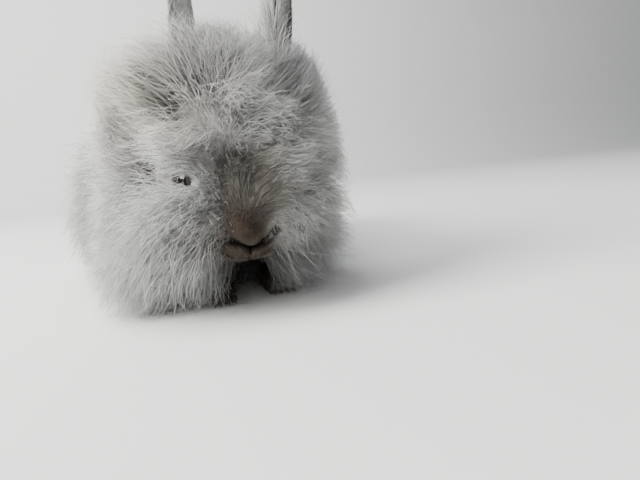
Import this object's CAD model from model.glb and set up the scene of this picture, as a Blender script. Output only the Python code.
import bpy
import numpy as np
from mathutils import Matrix, Vector


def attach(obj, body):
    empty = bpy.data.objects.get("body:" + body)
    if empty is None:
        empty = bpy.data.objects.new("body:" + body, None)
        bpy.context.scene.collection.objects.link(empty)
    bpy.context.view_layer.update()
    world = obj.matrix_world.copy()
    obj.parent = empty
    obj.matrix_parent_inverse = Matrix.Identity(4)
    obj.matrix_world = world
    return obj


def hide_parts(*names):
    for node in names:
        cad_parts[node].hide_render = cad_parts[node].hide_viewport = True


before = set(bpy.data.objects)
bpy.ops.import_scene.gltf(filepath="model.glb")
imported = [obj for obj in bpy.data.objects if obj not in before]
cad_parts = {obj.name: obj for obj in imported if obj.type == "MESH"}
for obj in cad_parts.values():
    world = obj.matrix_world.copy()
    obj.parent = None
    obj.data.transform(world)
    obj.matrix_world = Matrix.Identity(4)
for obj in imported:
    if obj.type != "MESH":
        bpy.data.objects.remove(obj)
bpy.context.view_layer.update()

# Camera: a phone held low and close in front of the rabbit, a little to its right, and tilted so that the
# level runs downhill to the right of the picture.
CAMERA_PLACE = (-0.0501, -0.2309, 0.0455)
CAMERA_AIM = (0.402, 0.902, -0.156)
CAMERA_ROLL = np.radians(5.5)
CAMERA_FOCAL = 492 / 640
SENSOR_WIDTH = 36
NEAREST_SEEN = 0.005


def unit(v):
    """Vectors along the last axis, scaled to length one."""
    v = np.asarray(v, float)
    return v / np.maximum(np.linalg.norm(v, axis=-1, keepdims=True), 1e-9)


camera_aim = unit(CAMERA_AIM)
camera_right = unit(np.cross(camera_aim, [0, 0, 1]))
camera_up = np.cross(camera_right, camera_aim)
camera_matrix = np.eye(4)
camera_matrix[:3, 0] = camera_right * np.cos(CAMERA_ROLL) - camera_up * np.sin(CAMERA_ROLL)
camera_matrix[:3, 1] = camera_right * np.sin(CAMERA_ROLL) + camera_up * np.cos(CAMERA_ROLL)
camera_matrix[:3, 2] = -camera_aim
camera_matrix[:3, 3] = CAMERA_PLACE
camera_data = bpy.data.cameras.new("camera")
camera_data.sensor_width = SENSOR_WIDTH
camera_data.lens = SENSOR_WIDTH * CAMERA_FOCAL
camera_data.clip_start = NEAREST_SEEN
camera = bpy.data.objects.new("camera", camera_data)
camera.matrix_world = Matrix(camera_matrix.tolist())
bpy.context.scene.collection.objects.link(camera)
bpy.context.scene.camera = camera

# The stand: a wide pale floor that curves up behind into a plain wall, as in a display case. It is matt
# paper and isn't part of the rabbit.
FLOOR_FRONT = -0.9
FLOOR_BACK = 0.75
FLOOR_HALF_WIDTH = 3.0
SWEEP_RADIUS = 0.35
WALL_HEIGHT = 1.3
PAPER_COLOUR = (0.86, 0.87, 0.855)


def grid_faces(rows, columns, closed):
    """Quads between neighbouring rows and columns; the last column joins the first where closed."""
    across = columns if closed else columns - 1
    i, j = np.meshgrid(np.arange(rows - 1), np.arange(across), indexing="ij")
    here = i * columns + j
    beside = i * columns + (j + 1) % columns
    return np.stack([here, here + columns, beside + columns, beside], axis=-1).reshape(-1, 4)


def mesh_piece(name, points_mm, faces, material, smooth=True):
    """A mesh object at the origin, from points in millimetres and faces with equal corner counts."""
    mesh = bpy.data.meshes.new(name)
    corners = faces.shape[1]
    mesh.vertices.add(len(points_mm))
    mesh.vertices.foreach_set("co", (np.asarray(points_mm) * 0.001).astype(np.float32).ravel())
    mesh.loops.add(faces.size)
    mesh.loops.foreach_set("vertex_index", faces.astype(np.int32).ravel())
    mesh.polygons.add(len(faces))
    mesh.polygons.foreach_set("loop_start", np.arange(0, faces.size, corners, dtype=np.int32))
    mesh.polygons.foreach_set("use_smooth", np.full(len(faces), smooth))
    mesh.update(calc_edges=True)
    if material is not None:
        mesh.materials.append(material)
    piece = bpy.data.objects.new(name, mesh)
    bpy.context.scene.collection.objects.link(piece)
    return piece


def set_inputs(node, values):
    """Sets the node's own sockets, by name."""
    for socket, value in values.items():
        node.inputs[socket].default_value = value


def finish_material(name, colour, roughness, gloss=0.5):
    """A principled material with its values on its own sockets."""
    material = bpy.data.materials.new(name)
    material.use_nodes = True
    values = {"Base Color": (*colour, 1), "Roughness": roughness, "Specular IOR Level": gloss}
    set_inputs(material.node_tree.nodes["Principled BSDF"], values)
    return material


bend = np.linspace(0, np.pi / 2, 17)
sweep_y = np.concatenate([[FLOOR_FRONT], FLOOR_BACK + SWEEP_RADIUS * np.sin(bend)])
sweep_z = np.concatenate([[0.0], SWEEP_RADIUS * (1 - np.cos(bend))])
sweep_y = np.append(sweep_y, sweep_y[-1])
sweep_z = np.append(sweep_z, WALL_HEIGHT)
sweep = np.zeros((len(sweep_y), 2, 3))
sweep[..., 0] = [FLOOR_HALF_WIDTH, -FLOOR_HALF_WIDTH]
sweep[..., 1] = sweep_y[:, None]
sweep[..., 2] = sweep_z[:, None]
paper = finish_material("pale paper", PAPER_COLOUR, 0.9)
floor = mesh_piece("floor_sweep", sweep.reshape(-1, 3) * 1000, grid_faces(len(sweep_y), 2, False), paper)

# Light: one broad soft source at the rabbit's right, as from a window, a weak wide fill from in front, a
# soft light on the paper behind, and a pale even surround.
LIT_PLACE = (-0.005, -0.055, 0.045)
LIT_PAPER = (0.25, 1.0, 0.35)
WARM_WHITE = (1.0, 0.985, 0.96)
WARMER_WHITE = (1.0, 0.98, 0.95)
PLAIN_WHITE = (1.0, 1.0, 1.0)
SURROUND_COLOUR = (0.86, 0.9, 0.93)
SURROUND_STRENGTH = 0.28

surround = bpy.data.worlds.new("pale surround")
surround.use_nodes = True
surround_light = {"Color": (*SURROUND_COLOUR, 1), "Strength": SURROUND_STRENGTH}
set_inputs(surround.node_tree.nodes["Background"], surround_light)
bpy.context.scene.world = surround


def soft_light(name, place, size, power, colour, aim):
    """A square lamp of that size, turned to the place that it lights."""
    lamp = bpy.data.lights.new(name, "AREA")
    lamp.size = size
    lamp.energy = power
    lamp.color = colour
    holder = bpy.data.objects.new(name, lamp)
    holder.location = place
    holder.rotation_mode = "QUATERNION"
    holder.rotation_quaternion = (Vector(aim) - Vector(place)).to_track_quat("-Z", "Y")
    bpy.context.scene.collection.objects.link(holder)


soft_light("window_light", (-0.8, -0.12, 0.55), 0.5, 24.0, WARM_WHITE, LIT_PLACE)
soft_light("front_fill", (-0.3, -0.95, 0.45), 0.9, 2.7, WARMER_WHITE, LIT_PLACE)
soft_light("paper_light", (-0.3, 0.1, 1.1), 0.8, 16.0, PLAIN_WHITE, LIT_PAPER)

# The flesh: a rabbit's skull, neck, trunk, thighs and tail as rounded forms, in millimetres and as large as
# the display model's solids. Each form is a row of oval sections along a straight axis, so its surface is a
# function of t, from end to end, and a, around.
HEAD_LENGTH = 60.0
BODY_LENGTH = 140.0
EYE_RADIUS = 5.6
EYE_PLACE = (0.44, 0.225, 0.045)
EYE_LOOK = (0.42, 0.8, 0.38)
NOSE_TIP = np.array([-13.0, -98.0, 25.0])
HEAD_PITCH = np.radians(38)
HEAD_YAW = np.radians(13.5)

head_forward = -np.array(
    [
        np.sin(HEAD_YAW) * np.cos(HEAD_PITCH),
        np.cos(HEAD_YAW) * np.cos(HEAD_PITCH),
        np.sin(HEAD_PITCH),
    ]
)
head_up = np.array(
    [
        -np.sin(HEAD_YAW) * np.sin(HEAD_PITCH),
        -np.cos(HEAD_YAW) * np.sin(HEAD_PITCH),
        np.cos(HEAD_PITCH),
    ]
)
head_left = unit(np.cross(head_up, head_forward))
head_axes = np.array([-head_forward, head_left, head_up])
DOWN = np.array([0.0, 0.0, -1.0])


def on_head(s, x, z):
    """The point s behind the nose, x to the rabbit's left and z towards the top of the head."""
    return NOSE_TIP + np.array([s, x, z]) @ head_axes


def head_places(p):
    """Those three distances of points, each as an array."""
    return np.moveaxis((p - NOSE_TIP) @ head_axes.T, -1, 0)


def ease(low, high, x):
    """A smooth step from 0 at low to 1 at high."""
    t = np.clip((x - low) / (high - low), 0, 1)
    return t * t * (3 - 2 * t)


def mix(a, b, t):
    """The value that is the share t of the way from a to b."""
    return a + (b - a) * t


def curve_through(places, values, at):
    """A smooth curve through values: between two places a cubic with their neighbours' slopes."""
    k = np.clip(np.searchsorted(places, at, side="left"), 1, len(places) - 1)
    lower = np.clip(np.arange(len(places)) - 1, 0, None)
    upper = np.clip(np.arange(len(places)) + 1, None, len(places) - 1)
    slope = (values[upper] - values[lower]) / (places[upper] - places[lower])
    span = places[k] - places[k - 1]
    t = np.clip((at - places[k - 1]) / span, 0, 1)
    curve = span * t * (1 - t) * ((1 - t) * slope[k - 1] - t * slope[k])
    return mix(values[k - 1], values[k], t * t * (3 - 2 * t)) + curve


T_STEP = 0.01
A_STEP = 0.04
T_ENDS = 0.012


class BodyForm:
    """A rounded form with oval sections: skin(t, a) gives points, outward(t, a) directions."""

    def __init__(self, origin, along, up, sections, squareness=2.0):
        self.origin = np.asarray(origin, float)
        self.along = unit(along)
        self.up = unit(up)
        self.side = np.cross(self.along, self.up)
        table = np.array(sections, float)
        self.places = table[:, 0]
        self.wide2 = table[:, 1] ** 2
        self.high2 = ((table[:, 2] - table[:, 3]) / 2) ** 2
        self.middle = (table[:, 2] + table[:, 3]) / 2
        self.start = self.places[0]
        self.length = self.places[-1] - self.start
        self.power = 2 / squareness

    def sizes(self, s):
        """Half width, half height and middle height of the section at s."""
        wide = np.sqrt(np.maximum(0, curve_through(self.places, self.wide2, s)))
        high = np.sqrt(np.maximum(0, curve_through(self.places, self.high2, s)))
        return wide, high, curve_through(self.places, self.middle, s)

    def skin(self, t, a):
        """Points of the surface; t is spaced more closely towards both ends."""
        s = self.start + self.length * (1 - np.cos(np.pi * np.clip(t, 0, 1))) / 2
        wide, high, mid = self.sizes(s)
        across = np.sign(np.cos(a)) * np.abs(np.cos(a)) ** self.power
        upward = np.sign(np.sin(a)) * np.abs(np.sin(a)) ** self.power
        return (
            self.origin
            + s[..., None] * self.along
            + (wide * across)[..., None] * self.side
            + (mid + high * upward)[..., None] * self.up
        )

    def spans(self, t, a):
        """How far the surface goes for a step in t and for a step in a, as two vectors."""
        t = np.clip(t, T_ENDS, 1 - T_ENDS)
        down = (self.skin(t + T_STEP, a) - self.skin(t - T_STEP, a)) / (2 * T_STEP)
        around = (self.skin(t, a + A_STEP) - self.skin(t, a - A_STEP)) / (2 * A_STEP)
        return down, around

    def outward(self, t, a):
        """Directions square to the surface."""
        return unit(np.cross(*self.spans(t, a)))

    def holds(self, p, grow):
        """Whether points lie inside the form, grown by that many millimetres."""
        d = p - self.origin
        s, x, z = d @ self.along, d @ self.side, d @ self.up
        inside = (s > self.start - grow) & (s < self.start + self.length + grow)
        wide, high, mid = self.sizes(np.clip(s, self.start + 0.5, self.start + self.length - 0.5))
        return inside & ((x / (wide + grow)) ** 2 + ((z - mid) / (high + grow)) ** 2 < 1)


H = HEAD_LENGTH


def head_ease(low, high, x):
    """A smooth step between two places given in head lengths."""
    return ease(low * H, high * H, x)


head_form = BodyForm(
    NOSE_TIP,
    -head_forward,
    head_up,
    [
        (0, 0, 0.01 * H, 0.01 * H),
        (0.035 * H, 0.088 * H, 0.075 * H, -0.07 * H),
        (0.14 * H, 0.135 * H, 0.115 * H, -0.15 * H),
        (0.28 * H, 0.19 * H, 0.16 * H, -0.21 * H),
        (0.42 * H, 0.26 * H, 0.21 * H, -0.26 * H),
        (0.56 * H, 0.3 * H, 0.255 * H, -0.29 * H),
        (0.72 * H, 0.3 * H, 0.275 * H, -0.29 * H),
        (0.88 * H, 0.24 * H, 0.24 * H, -0.24 * H),
        (H, 0, 0.02 * H, 0.02 * H),
    ],
)
neck_form = BodyForm(
    (-2, -46, 45),
    (0, 0.93, 0.36),
    (0, -0.36, 0.93),
    [(-22, 0, 0, 0), (-12, 17, 17, -20), (0, 21, 21, -25), (14, 23, 24, -28), (30, 0, 0, 0)],
)
B = BODY_LENGTH
trunk_form = BodyForm(
    (0, -48, 0),
    (0, 1, 0),
    (0, 0, 1),
    [
        (0, 0, 36, 36),
        (0.07 * B, 17, 56, 14),
        (0.19 * B, 26, 69, 4),
        (0.34 * B, 32, 77, -1),
        (0.53 * B, 37, 83, -3),
        (0.7 * B, 38, 81, -3),
        (0.85 * B, 31, 68, 1),
        (0.95 * B, 18, 50, 12),
        (B, 0, 32, 32),
    ],
    squareness=2.25,
)
thigh_right, thigh_left = (
    BodyForm(
        (side * 31, 46, 30),
        (0, 0.97, 0.24),
        (0, -0.24, 0.97),
        [(-32, 0, -6, -6), (-22, 12, 10, -22), (0, 16, 26, -29), (18, 14, 21, -26), (33, 0, 0, 0)],
    )
    for side in (-1, 1)
)
tail_form = BodyForm(
    (0, 89, 34),
    (0, 0.42, 0.91),
    (0, -0.91, 0.42),
    [(-8, 0, 0, 0), (0, 6, 5, -5), (10, 7, 6, -6), (22, 0, 0, 0)],
)

# The depth of the coat over the skin, out to its tips. On head and neck the wool fills the mane, a ball that
# narrows towards its top; muzzle and lids have short fur, and back, flanks and rump long fur.
MANE_CENTRE = np.array([-7.3, -54.0, 45.6])
MANE_RADII = np.array([41.0, 45.0, 48.2])
MANE_LEAN = 0.03
MANE_TAPER = 0.15
MANE_TOP_CORNER = 0.12
MANE_BOTTOM_CORNER = 0.35
MANE_DEEPEST = 48.0
MANE_OVER_CHEST = 30.0
BACK_COAT = 12.0
FLANK_COAT = 20.0
RUMP_COAT = 17.0
THIGH_COAT = 16.0
TAIL_COAT = 8.0
FACE_COAT = 1.0
WOOL_FROM_SIDE = 0.06
WOOL_FROM_TOP = 0.34
WOOL_FROM_UNDER = 0.28
WOOL_GROWS_OVER = 0.25
WOOL_GROWS_OVER_RIGHT = 0.12
THIN_NEAR_FLOOR = (-2, 7)


def mane_share(p):
    """How far out points are in the mane: 0 in its middle and 1 at the tips."""
    d = (p - MANE_CENTRE) / MANE_RADII
    height = np.maximum(0, d[..., 2])
    x = (d[..., 0] + MANE_LEAN * height) * (1 + MANE_TAPER * height)
    reach = np.sqrt(x**2 + d[..., 1] ** 2 + d[..., 2] ** 2)
    corner = np.where(d[..., 2] > 0, MANE_TOP_CORNER, MANE_BOTTOM_CORNER) * 4 * (d[..., 2] * x) ** 2
    return reach / (1 + corner / np.maximum(0.2, reach**4))


HALVINGS = 11


def reach_until(stops, p, way, most):
    """How far one can go from p along way before stops(points) turns true, found by halving."""
    near = np.zeros(len(p))
    far = np.broadcast_to(np.asarray(most, float), near.shape).copy()
    for _ in range(HALVINGS):
        middle = (near + far) / 2
        blocked = stops(p + middle[:, None] * way)
        near = np.where(blocked, near, middle)
        far = np.where(blocked, middle, far)
    return near


def past_mane(share):
    """The test of whether points lie further out in the mane than that share."""
    return lambda p: mane_share(p) > share


def mane_depth(p, out):
    """Distance from the skin to the edge of the mane."""
    return reach_until(past_mane(1), p, out, MANE_DEEPEST)


eye_s, eye_x, eye_z = EYE_PLACE
eye_centres = [on_head(eye_s * H, side * eye_x * H, eye_z * H) for side in (-1, 1)]
eye_ahead, eye_aside, eye_upward = EYE_LOOK
eye_outs = [
    unit(side * eye_aside * head_left + eye_ahead * head_forward + eye_upward * head_up) for side in (-1, 1)
]


def from_eyes(p):
    """Distance of points to the middle of the nearer eye."""
    return np.minimum(*(np.linalg.norm(p - c, axis=-1) for c in eye_centres))


def wool_share(p):
    """Where the head is woolly: 0 on muzzle, bridge and lids, 1 behind them."""
    s, x, z = head_places(p)
    around = np.maximum(np.hypot(x, z), 1e-3)
    top = np.clip(z / around, 0, 1)
    under = np.clip(-z / around, 0, 1)
    right = head_ease(0.02, -0.08, x) * (1 - top**2) * (1 - under**2)
    begins = mix(mix(WOOL_FROM_SIDE, WOOL_FROM_TOP, top**2), WOOL_FROM_UNDER, under**2) * H
    woolly = ease(begins, begins + mix(WOOL_GROWS_OVER, WOOL_GROWS_OVER_RIGHT, right) * H, s)
    return woolly * ease(1.05 * EYE_RADIUS, 1.5 * EYE_RADIUS, from_eyes(p))


def head_coat(p, out):
    """1 mm on the face, growing to the edge of the mane where the head is woolly."""
    return mix(FACE_COAT, mane_depth(p, out), wool_share(p))


def trunk_fur(p, out):
    """Least on the back, most on flanks and rump, none under the belly."""
    flank = mix(BACK_COAT, FLANK_COAT, ease(0.15, 0.8, 1 - out[:, 2]))
    depth = mix(flank, np.maximum(flank, RUMP_COAT), ease(40, 85, p[:, 1]))
    return depth * ease(*THIN_NEAR_FLOOR, p[:, 2]) * ease(-0.98, -0.6, out[:, 2])


def trunk_coat(p, out):
    """The trunk's own fur, and the mane where it covers chest and shoulders."""
    return np.maximum(trunk_fur(p, out), np.minimum(mane_depth(p, out), MANE_OVER_CHEST))


def thigh_coat(p, out):
    """The thighs' coat thins out to none where they rest on the floor."""
    return THIGH_COAT * ease(-0.95, -0.5, out[:, 2]) * ease(*THIN_NEAR_FLOOR, p[:, 2])


def tail_coat(p, out):
    """Even all round."""
    return np.full(len(p), TAIL_COAT)


# The nose and lips: two nostrils as slits in a V, a cleft that runs down from its point to the mouth, soft
# pads of the lip on both sides of it, and a small chin. All is flesh under short fur. The lines are given in
# head lengths, and how far the forms stand out in millimetres.
V_POINT = (0.011, 0.009, -0.032)
MOUTH_MIDDLE = (0.03, 0.003, -0.12)
OUTER_RIGHT = [(0.009, -0.045, 0), (0.03, -0.08, 0.01), (0.07, -0.106, -0.004)]
OUTER_LEFT = [(0.021, 0.068, -0.012), (0.06, 0.1, -0.01), (0.1, 0.125, -0.02)]
SLIT_WIDTH = 0.8
NOSTRIL_WIDTH = 1.3
CLEFT_WIDTH = 0.55
MOUTH_WIDTH = 0.7
NOSTRIL_DEPTH = 2.8
CLEFT_DEPTH = 1.7
MOUTH_DEPTH = 1.2
PAD_FORWARD = 3.3
MIDDLE_FORWARD = 2.4
PAD_ASIDE = 2.6
WING_RISE = 1.0
TIP_RISE = 0.5
SOCKET_RISE = 1.1
CHIN_DROP = 1.6
NOSE_REACH = 0.4
LINE_STEPS = 3
FAR_AWAY = 99.0


def face_line(*places):
    """A line through places in head lengths, as closely set points."""
    corners = np.array([on_head(*(H * np.array(place))) for place in places])
    at = np.linspace(0, len(corners) - 1, LINE_STEPS * (len(corners) - 1) + 1)
    k = np.minimum(at.astype(int), len(corners) - 2)
    return mix(corners[k], corners[k + 1], (at - k)[:, None])


NOSE_LINES = {
    "nostril": [
        (face_line(V_POINT, (0.005, -0.019, -0.014), *OUTER_RIGHT), SLIT_WIDTH),
        (face_line(V_POINT, (0.013, 0.038, -0.026), *OUTER_LEFT), SLIT_WIDTH),
        (face_line(*OUTER_RIGHT), NOSTRIL_WIDTH),
        (face_line(*OUTER_LEFT), NOSTRIL_WIDTH),
    ],
    "cleft": [(face_line(V_POINT, (0.02, 0.007, -0.075), MOUTH_MIDDLE), CLEFT_WIDTH)],
    "mouth": [
        (face_line(MOUTH_MIDDLE, (0.09, side * 0.06, -0.15), (0.17, side * 0.1, -0.15)), MOUTH_WIDTH)
        for side in (-1, 1)
    ],
}


def off_lines(p, lines):
    """The shortest way to points from the nearest of some lines of points, as vectors."""
    nearest = np.full(p.shape, FAR_AWAY)
    for line in lines:
        for start, end in zip(line[:-1], line[1:]):
            share = np.clip((p - start) @ (end - start) / ((end - start) @ (end - start)), 0, 1)
            away = p - start - share[:, None] * (end - start)
            closer = np.linalg.norm(away, axis=-1) < np.linalg.norm(nearest, axis=-1)
            nearest = np.where(closer[:, None], away, nearest)
    return nearest


def groove(p, lines):
    """1 on the nearest of some lines, each with its width, falling off beside it like a bell."""
    deep = np.zeros(p.shape[:-1])
    near = np.linalg.norm(p - NOSE_TIP, axis=-1) < NOSE_REACH * H
    for line, width in lines:
        away = np.linalg.norm(off_lines(p[near], [line]), axis=-1)
        deep[near] = np.maximum(deep[near], np.exp(-((away / width) ** 2)))
    return deep


def nose_lines(p):
    """How near points are to a nostril's slit, to the cleft of the lip and to the line of the mouth."""
    return tuple(groove(p, lines) for lines in NOSE_LINES.values())


def swelling(s, x, z, centre, radii):
    """1 at a centre in head lengths, falling off like a bell over three radii in millimetres."""
    apart = ((s - centre[0] * H) / radii[0]) ** 2 + ((x - centre[1] * H) / radii[1]) ** 2
    return np.exp(-apart - ((z - centre[2] * H) / radii[2]) ** 2)


def face_relief(p):
    """How far the face stands out from its plain form, or lies in where negative, as vectors.

    Lip pads go forward under the nose; chin, nose wings and the rings round the eyes go up, back or out, and
    the nostrils, the cleft and the line of the mouth go in.
    """
    s, x, z = head_places(p)
    side = np.abs(x)
    nostril, cleft, mouth = nose_lines(p)
    pads = swelling(s, side, z, (0.06, 0.075, -0.085), (6.5, 4.4, 3.6))
    middle = swelling(s, x, z, (0.04, 0, -0.09), (5.0, 3.2, 3.2))
    forward = PAD_FORWARD * pads + MIDDLE_FORWARD * middle - MOUTH_DEPTH * mouth
    aside = PAD_ASIDE * np.sign(x) * swelling(s, side, z, (0.1, 0.12, -0.06), (6.0, 4.0, 4.0))
    ring = (from_eyes(p) - 1.5 * EYE_RADIUS) / (0.5 * EYE_RADIUS)
    socket = SOCKET_RISE * np.exp(-(ring**2)) * head_ease(-0.05, 0.1, z)
    wings = WING_RISE * swelling(s, side, z, (0.07, 0.085, 0.035), (3.6, 2.4, 1.8))
    tip = TIP_RISE * swelling(s, x, z, (0, 0, 0.02), (3.0, 3.5, 1.6))
    chin = CHIN_DROP * swelling(s, x, z, (0.22, 0, -0.2), (4.6, 3.6, 2.6))
    high = socket + wings + tip - chin
    inwards = -unit(0.8 * head_forward + 0.6 * head_up)
    return (
        forward[..., None] * head_forward
        + aside[..., None] * head_left
        + high[..., None] * head_up
        + (NOSTRIL_DEPTH * nostril + CLEFT_DEPTH * cleft)[..., None] * inwards
    )


def nose_shade(p):
    """The same lines where they lie on the face with its relief, as one darkening from 0 to 1."""
    sunk = [(line + face_relief(line), width) for lines in NOSE_LINES.values() for line, width in lines]
    return groove(p, sunk)


# The markings: a blue-grey self colour with silvery tips. The bridge of the nose is a darker, browner grey,
# muzzle, lips and throat a dark brown, and a warm beige cast lies over the brow on the rabbit's right.
WOOL_ROOT = np.array([0.16, 0.159, 0.157])
WOOL_TIP = np.array([0.62, 0.62, 0.615])
BEIGE_TIP = np.array([0.64, 0.605, 0.53])
CROWN_TIP = np.array([0.47, 0.47, 0.47])
BRIDGE_GREY = np.array([0.1, 0.094, 0.084])
MUZZLE_DARK = np.array([0.022, 0.0125, 0.008])
LID_RIM = np.array([0.05, 0.042, 0.038])
LIP_BROWN = np.array([0.03, 0.02, 0.014])
THROAT_BROWN = np.array([0.034, 0.026, 0.019])
LID_RIM_SPREAD = 0.62
LID_RIM_DARKNESS = 0.9
NOSE_LINE_DARKNESS = 0.97
WIDE_CLOUDING = 0.1
FINE_CLOUDING = 0.07
THROAT_EDGE = (18, 8)
THROAT_DEEPENS = (-20, -50)
THROAT_TO_RIGHT = 2.5
HOLLOW_PLACE = on_head(0.03 * H, 0, -0.265 * H)
HOLLOW_WAY = unit(0.644 * head_forward + 0.764 * head_up - 0.033 * head_left)


def waves(p, size, seed, count=9):
    """Smooth noise from about -1 to 1: a sum of plane waves about that long in seeded directions."""
    draw = np.random.default_rng(seed)
    ways = unit(draw.normal(size=(count, 3))) * draw.uniform(0.7, 1.5, (count, 1)) * 2 * np.pi / size
    shifts = draw.uniform(0, 2 * np.pi, count)
    return np.sin(p @ ways.T + shifts).sum(axis=-1) * 0.7 / np.sqrt(count / 2)


def on_lid_rims(p):
    """1 on the rings of the lids where they face forwards out of the eye, 0 elsewhere."""
    facing = np.zeros(p.shape[:-1], bool)
    for centre, looks in zip(eye_centres, eye_outs):
        d = p - centre
        facing |= d @ looks > LID_RIM_SPREAD * np.linalg.norm(d, axis=-1)
    return facing * ease(1.35 * EYE_RADIUS, 1.2 * EYE_RADIUS, from_eyes(p))


def coat_colour(p, along):
    """Colour of a hair that grows from p, from its root at along 0 to its tip at 1."""
    s, x, z = head_places(p)
    bare = ease(0.6, 0.2, wool_share(p))
    brow = head_ease(0.3, 0.55, s) * head_ease(1.5, 1.1, s)
    brow = brow * head_ease(0.06, -0.2, x) * head_ease(-0.12, 0.14, z)
    crown = head_ease(0.45, 0.65, s) * head_ease(-0.12, 0.02, x) * head_ease(0.1, 0.22, z)
    tip = mix(mix(WOOL_TIP, BEIGE_TIP, brow[..., None]), CROWN_TIP, crown[..., None])
    wool = mix(WOOL_ROOT, tip, along[..., None])
    wool = wool * (1 + WIDE_CLOUDING * waves(p, 26, 41) + FINE_CLOUDING * waves(p, 9, 42))[..., None]
    shade = (0.75 + 0.9 * along)[..., None]
    beside = np.where(x < 0, -1.7 * x, 1.3 * x)
    bridge = head_ease(0.5, 0.36, s) * head_ease(0.24, 0.12, beside) * head_ease(-0.16, 0.0, z)
    grey = BRIDGE_GREY * (1 + 1.7 * head_ease(0.01, 0.11, x))[..., None]
    face = mix(wool, grey * shade, (bridge * bare)[..., None])
    across = np.where(x > 0, 1.5 * x, 0.75 * x)
    back = s * np.where(x > 0, 1.3, 1.0)
    muzzle = head_ease(0.26, 0.08, np.sqrt(back**2 + across**2 + 0.8 * z**2)) * bare
    lips = muzzle * head_ease(-0.045, -0.07, z)
    nose = mix(MUZZLE_DARK, LIP_BROWN, (lips * head_ease(-0.06, 0.03, x))[..., None])
    marked = mix(face, nose * shade, muzzle[..., None])
    from_hollow = p - HOLLOW_PLACE + THROAT_TO_RIGHT * head_left
    off_hollow = np.linalg.norm(np.cross(from_hollow, HOLLOW_WAY), axis=-1)
    throat = ease(*THROAT_EDGE, off_hollow) * ease(*THROAT_DEEPENS, p[..., 1])
    marked = mix(marked, THROAT_BROWN * shade, throat[..., None])
    marked = mix(marked, LID_RIM, (LID_RIM_DARKNESS * on_lid_rims(p))[..., None])
    return marked * (1 - NOSE_LINE_DARKNESS * nose_shade(p) ** 0.8)[..., None]


# The skin: one closed surface from nose to rump with its dense underwool, its ears, legs and toes. Its forms
# are joined where they cross. The nose has two slits in a V over a cleft lip, and each eye a ring of lids.
UNDERWOOL_SHARE = 0.34
UNDERWOOL_FROM = 2
EAR_LENGTH = 64.0
EAR_FLAT_WIDTH = 25.0
EAR_WALL = 1.7
EAR_BACKWARD = 3.0
EAR_ROOT = (0.79, 0.2, 0.15)
EAR_ROLL_ROOT = 100
EAR_ROLL_TIP = 48
EAR_PLACES = np.array([0, 0.06, 0.25, 0.5, 0.72, 0.9, 1])
EAR_WIDTHS = np.array([0, 0.5, 0.72, 1, 0.93, 0.58, 0])
TOES = 4
TOE_SHARE = 1.75
TOE_THICK = 0.62
TOE_LONG = 1.7
ELBOW = (17, -13.0, 17.0)
WRIST = (12, -41.0, 6.0)
FOREPAWS_SHIFT = -2
FLOOR_CUT_REACH = 300.0
FLOOR_CUT_DEPTH = 60.0
LID_OUTER = EYE_RADIUS + 0.95
LID_INNER = EYE_RADIUS + 0.12
LID_OPEN_LONG = np.radians(43)
LID_OPEN_HIGH = np.radians(38)
LID_FOOT = np.radians(105)
LID_COLUMNS = 72
LID_OUTER_ROWS = 16
LID_INNER_ROWS = 10
LID_TILT = 0.12


def full_grid(rows, columns):
    """Even values of t from 0 to 1 and of a once around, as two grids."""
    t = np.linspace(0, 1, rows + 1)
    a = np.linspace(0, 2 * np.pi, columns, endpoint=False)
    return np.meshgrid(t, a, indexing="ij")


def underwool(depth):
    """How deep the dense underwool stands: a share of the coat's depth past its first 2 mm."""
    return UNDERWOOL_SHARE * np.maximum(depth - UNDERWOOL_FROM, 0)


def with_underwool(form, coat, rows, columns, relief=None):
    """A form's surface, moved out by its share of the coat's depth and by the face's relief."""
    t, a = (grid.ravel() for grid in full_grid(rows, columns))
    p = form.skin(t, a)
    out = form.outward(t, a)
    depth = underwool(coat(p, out)) * ease(0, 0.03, t) * ease(1, 0.97, t)
    moved = p + depth[:, None] * out
    if relief is not None:
        moved = moved + relief(p)
    return moved.reshape(rows + 1, columns, 3)


def closed_surface(points):
    """Points and triangles of a tube of rows whose first and last row are drawn to one point each."""
    rows, columns = points.shape[0] - 1, points.shape[1]
    body = points[1:-1].reshape(-1, 3)
    ends = np.array([points[0].mean(0), points[-1].mean(0)])
    quads = grid_faces(rows - 1, columns, True)
    sides = np.concatenate([quads[:, [0, 1, 2]], quads[:, [0, 2, 3]]])
    j = np.arange(columns)
    beside = (j + 1) % columns
    base = (rows - 2) * columns
    top = np.stack([np.full(columns, len(body)), j, beside], axis=-1)
    bottom = np.stack([np.full(columns, len(body) + 1), base + beside, base + j], axis=-1)
    return np.concatenate([body, ends]), np.concatenate([sides, top, bottom])


def closed_piece(name, points, material=None):
    """A closed surface from rows of points, as an object."""
    return mesh_piece(name, *closed_surface(points), material)


def ring_piece(name, points, material=None):
    """A closed ring from rows of points around, whose last row joins the first."""
    rows, columns = points.shape[:2]
    quads = grid_faces(rows + 1, columns, True) % (rows * columns)
    faces = np.concatenate([quads[:, [0, 1, 2]], quads[:, [0, 2, 3]]])
    return mesh_piece(name, points.reshape(-1, 3), faces, material)


def oval_points(centre, axes, radii, rows=16, columns=20):
    """A ball stretched along three axes."""
    t, a = full_grid(rows, columns)
    t = np.pi * t
    ball = np.stack([np.sin(t) * np.cos(a), np.sin(t) * np.sin(a), np.cos(t)], axis=-1)
    return centre + (ball * radii) @ np.asarray(axes)


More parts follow.
